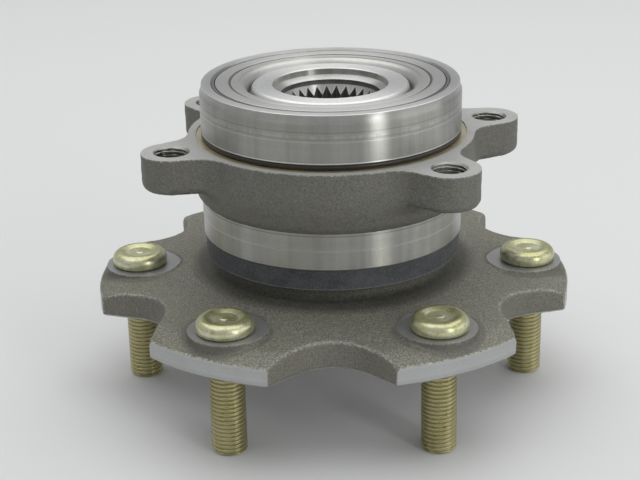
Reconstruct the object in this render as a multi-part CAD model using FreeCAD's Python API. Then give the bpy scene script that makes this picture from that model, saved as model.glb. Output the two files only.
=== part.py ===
"""Driven wheel hub bearing unit for a six-stud wheel, in millimetres.

Origin: on the bearing's axis, in the wheel mounting face.
+Z: along the axis, from the wheel towards the drive shaft.
+Y: the way the wide pair of knuckle ears spreads, so the ears mirror about the YZ plane.

The outer ring bolts to the knuckle and stands still. The hub, its pressed-on inner
ring, the wheel studs and the slinger turn in it on two rows of balls.
"""
import FreeCAD, Part
import math
import os

# Wheel flange of the hub
wheel_pitch_circle = 139.7
stud_count = 6
stud_park_angle = 12.7
flange_margin = 14.05
flange_chamfer = 0.8
rim_height = 6.4
rim_fall_width = 3.7
rim_fall_rise = 2.9
flange_root_rise = 4.2
face_relief_inset = 17.85
face_relief_depth = 0.8
notch_depth = 16.0
notch_corner_radius = 16.0
notch_flank_angle = 46.5
flange_edge_fillet = 2.0
notch_edge_fillet = 0.9

# Seats of the wheel studs
spot_face_radius = 13.15
spot_face_offset = 1.25
spot_face_rise = 1.6
boss_spread = 2.6

# Wheel studs
stud_radius = 6.0
stud_reach = 32.5
stud_tip_chamfer = 1.1
thread_pitch = 1.5
thread_depth = 0.85
thread_crest_width = 0.3
thread_root_width = 0.4
thread_runout = 1.0
knurl_rise = 0.4
head_overhang = 3.7
head_height = 5.0
head_crown = 2.5
head_foot = 0.5
dish_inset = 3.4
dish_slope_width = 2.1
dish_depth = 0.7

# Wheel pilot and nut recess at the hub's outboard end
recess_radius = 25.0
pilot_wall = 8.5
pilot_reach = 11.0
pilot_chamfer = 1.5
nut_seat_height = 4.0
recess_chamfer = 0.6

# Splined bore, from its teeth outwards
spline_teeth = 30
spline_minor_radius = 15.4
spline_tooth_height = 1.2
spline_root_width = 0.7
spline_mouth_width = 2.4
spline_lower_lead = 12.0
shaft_relief_clearance = 0.6
counterbore_clearance = 0.9
counterbore_depth = 1.1

# Spindle, neck and seal land of the hub
end_cone_width = 2.5
end_cone_drop = 1.4
neck_drop = 3.8
neck_fillet = 4.5
land_clearance = 0.5
land_rise = 7.0
land_foot_fillet = 3.0
land_edge_fillet = 1.0

# Ball rows
ball_diameter = 13.494
ball_gap = 1.6
ball_circle_rise = 12.0
row_spacing = 23.7
race_clearance = 0.1
inner_relief_rise = 0.45
outer_relief_drop = 0.45
outer_shoulder_rise = 4.1

# Cages
cage_half_thickness = 2.4
pocket_clearance = 0.2
cage_web = 1.6
cage_overlap = 2.6

# Inner ring
inner_ring_drop = 4.6
inner_ring_foot_depth = 9.2
inner_ring_stand_back = 1.3
spindle_stand_back = 2.4
inner_ring_end_round = 2.0
inner_ring_bore_chamfer = 0.3

# Outer ring, turned surfaces
seal_bore_rise = 9.0
seal_bore_chamfer = 0.65
seal_row_gap = 8.6
inboard_seal_depth = 7.3
outboard_seal_depth = 5.3
knuckle_pilot_wall = 4.5
knuckle_pilot_length = 18.5
ring_top_chamfer = 0.9
ring_lift = 4.6
ring_bottom_chamfer = 0.5
band_rise = 0.2
band_step = 0.2
band_step_lift = 7.1

# Outer ring, forged flange with four ears
face_ring_width = 1.8
face_ring_depth = 0.3
body_wall = 4.8
body_foot_rise = 1.7
body_foot_lift = 1.0
body_taper_height = 4.6
body_shoulder_drop = 4.1
body_shoulder_round = 6.0
body_foot_round = 1.0
ear_thickness = 12.0
ear_pitch_reach = 8.1
ear_end_radius = 10.3
ear_flare_angle = 12.0
ear_root_depth = 6.3
ear_root_fillet = 3.8
ear_edge_fillet = 2.4
upper_ear_half_angle = 62.5
lower_ear_half_angle = 54.2
ear_hole_radius = 5.35
ear_hole_chamfer = 0.9

# Sealing ring in the corner of the knuckle pilot
o_ring_section_radius = 0.85
o_ring_groove_clearance = 0.1
o_ring_groove_depth = 2.05

# Inboard seal
sheet_thickness = 0.8
case_recess = 0.1
case_corner_radius = 1.05
case_lip_clearance = 0.6
case_fold_depth = 2.5
slinger_inset = 6.3
slinger_recess = 0.3
slinger_cone_width = 4.5
slinger_cone_drop = 2.0
slinger_corner_radius = 0.6
slinger_fold_depth = 1.7
slinger_sleeve_overrun = 0.5
lip_clearance = 0.3
lip_thickness = 1.1
lip_fold = 2.2
lip_droop = 3.3

# Outboard seal
collar_inset = 0.4
collar_draft = 0.5
collar_height = 7.1
collar_thickness = 2.0
seal_case_flange_inset = 1.1
seal_plate_width = 7.5


def point(radius, height):
    """A point of a turned profile, in the XZ plane."""
    return FreeCAD.Vector(radius, 0, height)


def polar(radius, angle, height=0.0):
    """A point at a radius and an angle in degrees round the axis."""
    turn = math.radians(angle)
    return FreeCAD.Vector(radius * math.cos(turn), radius * math.sin(turn), height)


def fillet_middle(corner, before, after, radius, start, end):
    """The middle point of a round between two straight lines that meet at a corner."""
    inward = (start - corner) + (end - corner)
    half_angle = (before - corner).getAngle(after - corner) / 2
    reach = radius / math.sin(half_angle) - radius
    return corner + inward.normalize() * reach


def turned(points, rounds=None):
    """Revolve a closed profile about Z. rounds maps a point's index to its corner radius."""
    rounds = rounds or {}
    count = len(points)
    arcs = {}
    for index, radius in rounds.items():
        corner = points[index]
        before = points[index - 1]
        after = points[(index + 1) % count]
        half_angle = (before - corner).getAngle(after - corner) / 2
        setback = radius / math.tan(half_angle)
        start = corner + (before - corner).normalize() * setback
        end = corner + (after - corner).normalize() * setback
        arcs[index] = (start, fillet_middle(corner, before, after, radius, start, end), end)
    edges = []
    for index in range(count):
        following = (index + 1) % count
        leave = arcs[index][2] if index in arcs else points[index]
        arrive = arcs[following][0] if following in arcs else points[following]
        if index in arcs:
            edges.append(Part.Arc(*arcs[index]).toShape())
        edges.append(Part.LineSegment(leave, arrive).toShape())
    face = Part.Face(Part.Wire(edges))
    return face.revolve(FreeCAD.Vector(), FreeCAD.Vector(0, 0, 1), 360)


def cylinder(radius, low, high, place=FreeCAD.Vector()):
    """An upright cylinder between two heights."""
    return Part.makeCylinder(radius, high - low, place + FreeCAD.Vector(0, 0, low))


def cone(low_radius, high_radius, low, high, place=FreeCAD.Vector()):
    """An upright cone between two heights."""
    return Part.makeCone(low_radius, high_radius, high - low, place + FreeCAD.Vector(0, 0, low))


def prism(edges, low, high):
    """Extrude a closed outline, drawn at height 0, between two heights."""
    face = Part.Face(Part.Wire(edges))
    face.translate(FreeCAD.Vector(0, 0, low))
    return face.extrude(FreeCAD.Vector(0, 0, high - low))


def turn_about_axis(vector, angle):
    """Turn a point drawn along +X round the axis by an angle in degrees."""
    return FreeCAD.Rotation(FreeCAD.Vector(0, 0, 1), angle).multVec(vector)


def line(start, end):
    return Part.LineSegment(start, end).toShape()


def arc(start, middle, end):
    return Part.Arc(start, middle, end).toShape()


# How near two places are to count as one, and how many places are tried on an edge
slack = 0.01
edge_samples = 7

# Radii worked out from the sizes above, from the axis outwards
wheel_pitch_radius = wheel_pitch_circle / 2
flange_radius = wheel_pitch_radius + flange_margin
shelf_radius = flange_radius - rim_fall_width
notch_floor_radius = flange_radius - notch_depth
face_relief_radius = wheel_pitch_radius - face_relief_inset
knurl_radius = stud_radius + knurl_rise
head_radius = stud_radius + head_overhang
dish_radius = head_radius - dish_inset
dish_floor_radius = dish_radius - dish_slope_width
pilot_radius = recess_radius + pilot_wall
spline_major_radius = spline_minor_radius + spline_tooth_height
shaft_relief_radius = spline_major_radius + shaft_relief_clearance
end_cone_radius = spline_major_radius + counterbore_clearance
seat_radius = end_cone_radius + end_cone_width
ball_pitch_radius = seat_radius + ball_circle_rise
ball_radius = ball_diameter / 2
race_radius = ball_radius + race_clearance
inner_relief_radius = ball_pitch_radius - race_radius + inner_relief_rise
outer_relief_radius = ball_pitch_radius + race_radius - outer_relief_drop
outer_shoulder_radius = ball_pitch_radius + outer_shoulder_rise
neck_radius = ball_pitch_radius - neck_drop
inner_ring_radius = ball_pitch_radius - inner_ring_drop
cage_inner_radius = ball_pitch_radius - cage_half_thickness
cage_outer_radius = ball_pitch_radius + cage_half_thickness
seal_bore_radius = ball_pitch_radius + seal_bore_rise
land_radius = seal_bore_radius - land_clearance
seal_plate_radius = seal_bore_radius - seal_plate_width
slinger_radius = seal_bore_radius - slinger_inset
slinger_cone_radius = inner_ring_radius + slinger_cone_width
case_lip_radius = slinger_radius + case_lip_clearance
knuckle_pilot_radius = seal_bore_radius + knuckle_pilot_wall
face_ring_radius = knuckle_pilot_radius + face_ring_width
band_radius = knuckle_pilot_radius + band_rise
collar_radius = band_radius - collar_inset
collar_foot_radius = collar_radius - collar_draft
seal_case_flange_radius = collar_radius - seal_case_flange_inset
body_foot_radius = band_radius + body_foot_rise
body_radius = knuckle_pilot_radius + body_wall
ear_root_radius = body_radius - ear_root_depth
ear_pitch_radius = body_radius + ear_pitch_reach

# Heights worked out from the sizes above, from the wheel face inboard
shelf_height = rim_height + rim_fall_rise
spot_face_height = shelf_height + spot_face_rise
flange_root_height = shelf_height + flange_root_rise
land_height = flange_root_height + land_rise
ring_bottom_height = land_height + ring_lift
band_step_height = ring_bottom_height + band_step_lift
outboard_seal_floor = ring_bottom_height + outboard_seal_depth
outboard_row_height = outboard_seal_floor + seal_row_gap
inboard_row_height = outboard_row_height + row_spacing
seat_shoulder_height = inboard_row_height - inner_ring_foot_depth
inboard_seal_floor = inboard_row_height + seal_row_gap
ring_top_height = inboard_seal_floor + inboard_seal_depth
inner_ring_end_height = ring_top_height - inner_ring_stand_back
slinger_cone_foot_height = inner_ring_end_height - slinger_cone_drop
spindle_end_height = inner_ring_end_height - spindle_stand_back
lead_in_height = spindle_end_height - end_cone_drop - counterbore_depth
spline_lower_end = nut_seat_height + spline_lower_lead
knuckle_face_height = ring_top_height - knuckle_pilot_length
ear_under_height = knuckle_face_height - ear_thickness
body_shoulder_height = ear_under_height - body_shoulder_drop
body_foot_height = body_shoulder_height - body_taper_height
band_top_height = body_foot_height - body_foot_lift
o_ring_groove_width = 2 * o_ring_section_radius + o_ring_groove_clearance
thread_start = stud_tip_chamfer + thread_crest_width - stud_reach
thread_flank_width = (thread_pitch - thread_crest_width - thread_root_width) / 2
thread_turns = int((-thread_start - thread_runout) / thread_pitch)

# Places round the axis
notch_angle = 360 / stud_count
balls_per_row = int(math.pi / math.asin((ball_diameter + ball_gap) / 2 / ball_pitch_radius))
ear_angles = [
    90 - upper_ear_half_angle,
    90 + upper_ear_half_angle,
    270 - lower_ear_half_angle,
    270 + lower_ear_half_angle,
]
stud_angles = [stud_park_angle + notch_angle * index for index in range(stud_count)]


def race(row_height):
    """The ring of space that a row of balls needs, with its running clearance."""
    return Part.makeTorus(ball_pitch_radius, race_radius, FreeCAD.Vector(0, 0, row_height))


def wheel_flange_outline():
    """Six lobes: rim arcs between notches with a round floor and straight flanks."""
    flank = math.radians(notch_flank_angle)
    centre = notch_floor_radius + notch_corner_radius
    tangent = FreeCAD.Vector(
        centre - notch_corner_radius * math.sin(flank), notch_corner_radius * math.cos(flank), 0
    )
    along = FreeCAD.Vector(math.cos(flank), math.sin(flank), 0)
    reach = -tangent.dot(along) + math.sqrt(
        tangent.dot(along) ** 2 + flange_radius ** 2 - tangent.dot(tangent)
    )
    corner = tangent + along * reach
    edges = []
    for stud_angle in stud_angles:
        angle = stud_angle + notch_angle / 2
        low_corner = turn_about_axis(FreeCAD.Vector(corner.x, -corner.y, 0), angle)
        low_tangent = turn_about_axis(FreeCAD.Vector(tangent.x, -tangent.y, 0), angle)
        floor = polar(notch_floor_radius, angle)
        high_tangent = turn_about_axis(tangent, angle)
        high_corner = turn_about_axis(corner, angle)
        next_corner = turn_about_axis(FreeCAD.Vector(corner.x, -corner.y, 0), angle + notch_angle)
        rim_middle = polar(flange_radius, angle + notch_angle / 2)
        edges.append(line(low_corner, low_tangent))
        edges.append(arc(low_tangent, floor, high_tangent))
        edges.append(line(high_tangent, high_corner))
        edges.append(arc(high_corner, rim_middle, next_corner))
    return edges


def ear_outline(angle):
    """One ear: a round end between two flared flanks that run into the body."""
    flare = math.radians(ear_flare_angle)
    start = FreeCAD.Vector(
        ear_pitch_radius + ear_end_radius * math.sin(flare), ear_end_radius * math.cos(flare), 0
    )
    root = FreeCAD.Vector(
        ear_root_radius, start.y + (start.x - ear_root_radius) * math.tan(flare), 0
    )
    low_start = turn_about_axis(FreeCAD.Vector(start.x, -start.y, 0), angle)
    low_root = turn_about_axis(FreeCAD.Vector(root.x, -root.y, 0), angle)
    high_start = turn_about_axis(start, angle)
    high_root = turn_about_axis(root, angle)
    tip = polar(ear_pitch_radius + ear_end_radius, angle)
    return [
        line(low_root, low_start),
        arc(low_start, tip, high_start),
        line(high_start, high_root),
        line(high_root, low_root),
    ]


def edges_where(solid, wanted):
    """Edges of a solid whose every sampled point passes a test on radius and height."""
    found = []
    for edge in solid.Edges:
        samples = edge.discretize(edge_samples)
        if all(wanted(math.hypot(place.x, place.y), place.z) for place in samples):
            found.append(edge)
    return found


def rounded(solid, radius, edges):
    """Fillet the given edges of a solid."""
    return solid.makeFillet(radius, edges).Solids[0]


def hub_profile():
    """The turned shape of wheel flange, pilot, neck and spindle."""
    points = [
        point(recess_radius, nut_seat_height),
        point(recess_radius, recess_chamfer - pilot_reach),
        point(recess_radius + recess_chamfer, -pilot_reach),
        point(pilot_radius - pilot_chamfer, -pilot_reach),
        point(pilot_radius, pilot_chamfer - pilot_reach),
        point(pilot_radius, face_relief_depth),
        point(face_relief_radius, face_relief_depth),
        point(face_relief_radius + face_relief_depth, 0),
        point(flange_radius - flange_chamfer, 0),
        point(flange_radius, flange_chamfer),
        point(flange_radius, rim_height),
        point(shelf_radius, shelf_height),
        point(land_radius, flange_root_height),
        point(land_radius, land_height),
        point(neck_radius, land_height),
        point(neck_radius, outboard_row_height),
        point(inner_relief_radius, outboard_row_height),
        point(inner_relief_radius, seat_shoulder_height),
        point(seat_radius, seat_shoulder_height),
        point(seat_radius, spindle_end_height),
        point(end_cone_radius, spindle_end_height - end_cone_drop),
        point(end_cone_radius, lead_in_height),
        point(spline_minor_radius, lead_in_height + spline_minor_radius - end_cone_radius),
        point(spline_minor_radius, spline_lower_end),
        point(shaft_relief_radius, spline_lower_end + spline_minor_radius - shaft_relief_radius),
        point(shaft_relief_radius, nut_seat_height),
    ]
    rounds = {11: flange_edge_fillet, 12: land_foot_fillet, 13: land_edge_fillet, 14: neck_fillet}
    return turned(points, rounds)


def spline_spaces():
    """The spaces between the internal spline teeth, narrow at the root."""
    inner = spline_minor_radius - spline_root_width
    slope = (spline_mouth_width - spline_root_width) / (spline_major_radius - spline_minor_radius)
    inner_width = spline_mouth_width + slope * (spline_minor_radius - inner)
    corners = [
        FreeCAD.Vector(inner, -inner_width / 2, 0),
        FreeCAD.Vector(spline_major_radius, -spline_root_width / 2, 0),
        FreeCAD.Vector(spline_major_radius, spline_root_width / 2, 0),
        FreeCAD.Vector(inner, inner_width / 2, 0),
    ]
    spaces = []
    for tooth in range(spline_teeth):
        turned_corners = [turn_about_axis(corner, tooth * 360 / spline_teeth) for corner in corners]
        edges = [
            line(turned_corners[index - 1], turned_corners[index]) for index in range(len(corners))
        ]
        spaces.append(prism(edges, spline_lower_end - shaft_relief_radius, lead_in_height))
    return spaces


def notch_rim_edges(solid):
    """The upper edges of the walls between the lobes of the wheel flange."""
    steepest = 0.7
    found = []
    for face in solid.Faces:
        reach = [math.hypot(vertex.X, vertex.Y) for vertex in face.Vertexes]
        first, last, low, high = face.ParameterRange
        upright = abs(face.normalAt((first + last) / 2, (low + high) / 2).z) < slack
        if upright and notch_floor_radius < min(reach) < flange_radius - slack:
            for edge in face.Edges:
                box = edge.BoundBox
                if box.ZMax > rim_height + slack and box.ZLength < edge.Length * steepest:
                    found.append(edge)
    return found


def make_hub():
    """Wheel flange, pilot and spindle in one forging, with the outboard raceway."""
    solid = hub_profile()
    blank = prism(wheel_flange_outline(), -pilot_reach, spindle_end_height)
    solid = solid.common(blank)
    solid = rounded(solid, notch_edge_fillet, notch_rim_edges(solid))
    bosses = []
    cuts = []
    for angle in stud_angles:
        place = polar(wheel_pitch_radius - spot_face_offset, angle)
        foot_radius = spot_face_radius + boss_spread
        bosses.append(cone(foot_radius, spot_face_radius, rim_height, spot_face_height, place))
        cuts.append(cylinder(spot_face_radius, spot_face_height, land_height, place))
        cuts.append(cylinder(knurl_radius, 0, spot_face_height, polar(wheel_pitch_radius, angle)))
    rim = cylinder(flange_radius, 0, spot_face_height)
    inside = prism(wheel_flange_outline(), 0, spot_face_height).common(rim)
    solid = solid.fuse([boss.common(inside) for boss in bosses])
    cuts.append(race(outboard_row_height))
    cuts.extend(spline_spaces())
    return solid.cut(cuts).removeSplitter()


def thread_points():
    """The grooves of a stud's thread as plain rings, from the tip up."""
    points = []
    for turn in range(thread_turns):
        low = thread_start + thread_pitch * turn
        high = low + thread_pitch - thread_crest_width
        points.append(point(stud_radius, low))
        points.append(point(stud_radius - thread_depth, low + thread_flank_width))
        points.append(point(stud_radius - thread_depth, high - thread_flank_width))
        points.append(point(stud_radius, high))
    return points


def make_stud(angle):
    """One pressed-in wheel stud, head on the spot face and thread out of the wheel face."""
    top = spot_face_height + head_height
    shank = [
        point(0, -stud_reach),
        point(stud_radius - stud_tip_chamfer, -stud_reach),
        point(stud_radius, stud_tip_chamfer - stud_reach),
        *thread_points(),
        point(stud_radius, 0),
        point(knurl_radius, 0),
        point(knurl_radius, spot_face_height),
    ]
    head = [
        point(head_radius, spot_face_height),
        point(head_radius, top),
        point(dish_radius, top),
        point(dish_floor_radius, top - dish_depth),
        point(0, top - dish_depth),
    ]
    stud = turned(shank + head, {len(shank): head_foot, len(shank) + 1: head_crown})
    stud.translate(polar(wheel_pitch_radius, angle))
    return stud


def make_inner_ring():
    """The inner ring pressed on the spindle, with the inboard raceway."""
    points = [
        point(seat_radius, seat_shoulder_height),
        point(inner_relief_radius, seat_shoulder_height),
        point(inner_relief_radius, inboard_row_height),
        point(inner_ring_radius, inboard_row_height),
        point(inner_ring_radius, inner_ring_end_height),
        point(seat_radius + inner_ring_bore_chamfer, inner_ring_end_height),
        point(seat_radius, inner_ring_end_height - inner_ring_bore_chamfer),
    ]
    return turned(points, {4: inner_ring_end_round}).cut(race(inboard_row_height))


def make_ear(angle):
    """One ear with its lower edge rounded, reaching into the body."""
    ear = prism(ear_outline(angle), ear_under_height, knuckle_face_height)

    def lower_rim(radius, height):
        return radius > ear_root_radius + slack and height < ear_under_height + slack

    return rounded(ear, ear_edge_fillet, edges_where(ear, lower_rim))


def forged_body():
    """The round body with its four ears, blended into it all the way round."""
    points = [
        point(0, band_top_height),
        point(band_radius + band_step, band_top_height),
        point(body_foot_radius, body_foot_height),
        point(body_radius, body_shoulder_height),
        point(body_radius, knuckle_face_height),
        point(0, knuckle_face_height),
    ]
    body = turned(points, {2: body_foot_round, 3: body_shoulder_round})
    body = body.fuse([make_ear(angle) for angle in ear_angles]).removeSplitter()

    def root(radius, height):
        return abs(radius - body_radius) < slack and height > body_shoulder_height + ear_edge_fillet

    def leaves_face(edge):
        heights = [place.z for place in edge.discretize(edge_samples)]
        return min(heights) < knuckle_face_height - slack

    roots = [edge for edge in edges_where(body, root) if leaves_face(edge)]
    return rounded(body, ear_root_fillet, roots)


def make_outer_ring():
    """The fixed ring: knuckle pilot, forged flange, polished band and both raceways."""
    groove_radius = knuckle_pilot_radius - o_ring_groove_depth
    groove_top = knuckle_face_height + o_ring_groove_width
    upper = [
        point(seal_bore_radius, knuckle_face_height - face_ring_depth),
        point(groove_radius, knuckle_face_height - face_ring_depth),
        point(groove_radius, groove_top),
        point(knuckle_pilot_radius, groove_top),
        point(knuckle_pilot_radius, ring_top_height - ring_top_chamfer),
        point(knuckle_pilot_radius - ring_top_chamfer, ring_top_height),
        point(seal_bore_radius + seal_bore_chamfer, ring_top_height),
        point(seal_bore_radius, ring_top_height - seal_bore_chamfer),
    ]
    lower = [
        point(seal_bore_radius, ring_bottom_height),
        point(band_radius - ring_bottom_chamfer, ring_bottom_height),
        point(band_radius, ring_bottom_height + ring_bottom_chamfer),
        point(band_radius, band_step_height),
        point(band_radius + band_step, band_step_height + band_step),
        point(band_radius + band_step, band_top_height + band_step),
        point(seal_bore_radius, band_top_height + band_step),
    ]
    liner = [
        point(outer_relief_radius, outboard_seal_floor),
        point(seal_bore_radius, outboard_seal_floor),
        point(seal_bore_radius, inboard_seal_floor),
        point(outer_relief_radius, inboard_seal_floor),
        point(outer_relief_radius, inboard_row_height),
        point(outer_shoulder_radius, inboard_row_height),
        point(outer_shoulder_radius, outboard_row_height),
        point(outer_relief_radius, outboard_row_height),
    ]
    body = forged_body().cut(cylinder(seal_bore_radius, ring_bottom_height, ring_top_height))
    relief_floor = knuckle_face_height - face_ring_depth
    body = body.cut(cylinder(face_ring_radius, relief_floor, knuckle_face_height))
    solid = body.fuse([turned(upper), turned(lower), turned(liner)])
    cuts = [race(inboard_row_height), race(outboard_row_height)]
    mouth_radius = ear_hole_radius + ear_hole_chamfer
    mouth_floor = knuckle_face_height - ear_hole_chamfer
    for angle in ear_angles:
        place = polar(ear_pitch_radius, angle)
        cuts.append(cylinder(ear_hole_radius, band_top_height, knuckle_face_height, place))
        cuts.append(cone(ear_hole_radius, mouth_radius, mouth_floor, knuckle_face_height, place))
    return solid.cut(cuts).removeSplitter()


def make_ball(row_height, index):
    """One ball of a row."""
    place = polar(ball_pitch_radius, index * 360 / balls_per_row, row_height)
    return Part.makeSphere(ball_radius, place)


def make_cage(row_height, web_side):
    """A snap cage: a ring on the side of the other row, with open round pockets."""
    pocket_radius = ball_radius + pocket_clearance
    web_face = row_height + web_side * (pocket_radius + cage_web)
    open_face = row_height - web_side * cage_overlap
    low = min(web_face, open_face)
    high = max(web_face, open_face)
    ring = cylinder(cage_outer_radius, low, high).cut(cylinder(cage_inner_radius, low, high))
    pockets = []
    for index in range(balls_per_row):
        place = polar(ball_pitch_radius, index * 360 / balls_per_row, row_height)
        pockets.append(Part.makeSphere(pocket_radius, place))
    return ring.cut(pockets)


def make_o_ring():
    """The sealing ring that lies in the corner between knuckle pilot and flange."""
    ring_radius = knuckle_pilot_radius - o_ring_groove_depth + o_ring_section_radius
    height = knuckle_face_height + o_ring_groove_width / 2
    return Part.makeTorus(ring_radius, o_ring_section_radius, FreeCAD.Vector(0, 0, height))


def make_inboard_seal_case():
    """The pressed steel case in the outer ring's inboard bore."""
    top = ring_top_height - case_recess
    wall = seal_bore_radius - sheet_thickness
    points = [
        point(seal_bore_radius, inboard_seal_floor),
        point(seal_bore_radius, top),
        point(case_lip_radius, top),
        point(case_lip_radius, top - case_fold_depth),
        point(case_lip_radius + sheet_thickness, top - case_fold_depth),
        point(case_lip_radius + sheet_thickness, top - sheet_thickness),
        point(wall, top - sheet_thickness),
        point(wall, inboard_seal_floor),
    ]
    return turned(points, {1: case_corner_radius, 2: sheet_thickness / 2})


def make_inboard_slinger():
    """The dished steel ring pressed on the inner ring, which turns inside the case."""
    top = ring_top_height - slinger_recess
    sleeve = inner_ring_radius + sheet_thickness
    sleeve_foot = inboard_seal_floor - slinger_sleeve_overrun
    slope = (top - slinger_cone_foot_height) / (slinger_cone_radius - inner_ring_radius)
    under_rise = sheet_thickness * slope
    points = [
        point(inner_ring_radius, sleeve_foot),
        point(sleeve, sleeve_foot),
        point(sleeve, slinger_cone_foot_height + under_rise - sheet_thickness),
        point(slinger_cone_radius + under_rise / 2, top - sheet_thickness),
        point(slinger_radius - sheet_thickness, top - sheet_thickness),
        point(slinger_radius - sheet_thickness, top - slinger_fold_depth),
        point(slinger_radius, top - slinger_fold_depth),
        point(slinger_radius, top),
        point(slinger_cone_radius, top),
        point(inner_ring_radius, slinger_cone_foot_height),
    ]
    return turned(points, {7: slinger_corner_radius})


def make_inboard_seal_lip():
    """The rubber of the inboard seal: bonded in the case, with a radial and an axial lip."""
    roof = ring_top_height - case_recess - sheet_thickness
    fold_foot = ring_top_height - case_recess - case_fold_depth
    wall = seal_bore_radius - sheet_thickness
    sleeve_tip = inner_ring_radius + sheet_thickness + lip_clearance
    lip_height = inboard_seal_floor + lip_thickness
    root = case_lip_radius + sheet_thickness
    points = [
        point(wall, roof),
        point(root, roof),
        point(root, fold_foot),
        point(case_lip_radius - lip_thickness, fold_foot - lip_thickness),
        point(slinger_cone_radius, fold_foot - lip_thickness / 2),
        point(slinger_cone_radius, fold_foot - lip_fold),
        point(sleeve_tip, lip_height),
        point(sleeve_tip, inboard_seal_floor),
        point(slinger_cone_radius, lip_height),
        point(root, fold_foot - lip_fold),
        point(wall, roof - lip_fold),
    ]
    return turned(points)


def make_outboard_seal_case():
    """The steel insert of the outboard seal, in and under the outer ring's end."""
    wall = seal_bore_radius - sheet_thickness
    points = [
        point(seal_bore_radius, ring_bottom_height),
        point(seal_case_flange_radius, ring_bottom_height),
        point(seal_case_flange_radius, ring_bottom_height - sheet_thickness),
        point(wall, ring_bottom_height - sheet_thickness),
        point(wall, outboard_seal_floor - sheet_thickness),
        point(seal_plate_radius, outboard_seal_floor - sheet_thickness),
        point(seal_plate_radius, outboard_seal_floor),
        point(seal_bore_radius, outboard_seal_floor),
    ]
    return turned(points)


def make_outboard_seal_lip():
    """The rubber of the outboard seal: the dark collar outside and the lips inside."""
    plate = outboard_seal_floor - sheet_thickness
    shelf = ring_bottom_height - sheet_thickness
    wall = seal_bore_radius - sheet_thickness
    collar_foot = ring_bottom_height - collar_height
    neck_tip = neck_radius + lip_clearance
    land_tip = land_height + lip_clearance
    side_lip = (seal_plate_radius + wall) / 2
    points = [
        point(seal_case_flange_radius, ring_bottom_height),
        point(collar_radius, ring_bottom_height),
        point(collar_foot_radius, collar_foot),
        point(collar_foot_radius - collar_thickness, collar_foot),
        point(collar_foot_radius - collar_thickness, shelf - lip_thickness),
        point(wall - lip_thickness, shelf - lip_thickness),
        point(wall - lip_thickness, plate - lip_thickness),
        point(side_lip + lip_thickness, plate - lip_thickness),
        point(side_lip + lip_fold, land_tip),
        point(side_lip + lip_thickness, land_tip),
        point(side_lip, plate - lip_thickness),
        point(seal_plate_radius, plate - lip_thickness),
        point(neck_tip + lip_thickness, plate - lip_droop),
        point(neck_tip, plate - lip_droop),
        point(neck_tip, plate - lip_fold),
        point(seal_plate_radius - lip_thickness, plate),
        point(wall, plate),
        point(wall, shelf),
        point(seal_case_flange_radius, shelf),
    ]
    return turned(points)


def build_parts():
    """Every piece of the unit, by name."""
    parts = {
        "outer_ring": make_outer_ring(),
        "hub": make_hub(),
        "inner_ring": make_inner_ring(),
        "cage_inboard": make_cage(inboard_row_height, -1),
        "cage_outboard": make_cage(outboard_row_height, 1),
        "o_ring": make_o_ring(),
        "inboard_seal_case": make_inboard_seal_case(),
        "inboard_seal_lip": make_inboard_seal_lip(),
        "inboard_slinger": make_inboard_slinger(),
        "outboard_seal_case": make_outboard_seal_case(),
        "outboard_seal_lip": make_outboard_seal_lip(),
    }
    for index, angle in enumerate(stud_angles):
        parts[f"wheel_stud_{index + 1}"] = make_stud(angle)
    for row, height in (("inboard", inboard_row_height), ("outboard", outboard_row_height)):
        for index in range(balls_per_row):
            parts[f"ball_{row}_{index + 1:02d}"] = make_ball(height, index)
    return parts


os.makedirs("parts", exist_ok=True)
for name, shape in build_parts().items():
    solids = shape.Solids
    if len(solids) != 1 or not solids[0].isValid():
        print("check", name, len(solids), shape.isValid())
    solids[0].exportStep(f"parts/{name}.step")
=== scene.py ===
"""Looks of a driven wheel hub bearing unit, built around its fixed frame.

Lengths are millimetres, and each mesh is turned into metres when it is made. Only the
texture scales and bump distances of the materials are in metres. The origin is on the
bearing's axis in the wheel face, and +Z runs inboard.
"""

import math

import bpy
import numpy as np
from mathutils import Matrix, Vector


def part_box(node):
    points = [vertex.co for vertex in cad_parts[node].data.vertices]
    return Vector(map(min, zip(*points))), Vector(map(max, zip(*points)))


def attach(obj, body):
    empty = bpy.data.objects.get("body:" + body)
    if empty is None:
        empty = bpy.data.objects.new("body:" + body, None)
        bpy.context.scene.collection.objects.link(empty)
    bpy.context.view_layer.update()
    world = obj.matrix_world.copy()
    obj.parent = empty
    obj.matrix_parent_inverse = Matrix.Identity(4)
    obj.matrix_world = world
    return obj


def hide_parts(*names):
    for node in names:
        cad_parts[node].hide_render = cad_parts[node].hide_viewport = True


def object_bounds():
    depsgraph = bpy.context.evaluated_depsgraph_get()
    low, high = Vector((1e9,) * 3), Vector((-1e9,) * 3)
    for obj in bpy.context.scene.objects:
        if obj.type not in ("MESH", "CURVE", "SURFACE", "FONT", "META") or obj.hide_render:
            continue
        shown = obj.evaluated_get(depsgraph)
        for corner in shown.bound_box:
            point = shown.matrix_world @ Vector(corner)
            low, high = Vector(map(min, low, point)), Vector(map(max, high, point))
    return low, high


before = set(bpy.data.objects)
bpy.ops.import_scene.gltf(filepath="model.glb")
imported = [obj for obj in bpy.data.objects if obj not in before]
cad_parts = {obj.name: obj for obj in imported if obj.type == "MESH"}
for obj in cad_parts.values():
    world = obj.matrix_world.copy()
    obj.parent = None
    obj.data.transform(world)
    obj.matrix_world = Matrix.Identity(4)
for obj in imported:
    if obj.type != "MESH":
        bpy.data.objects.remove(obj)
cad_low, cad_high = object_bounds()

MM = 0.001


def top_of(node):
    """Height of a fixed node's upper side."""
    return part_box(node)[1].z / MM


def foot_of(node):
    """Height of a fixed node's lower side."""
    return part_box(node)[0].z / MM


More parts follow.
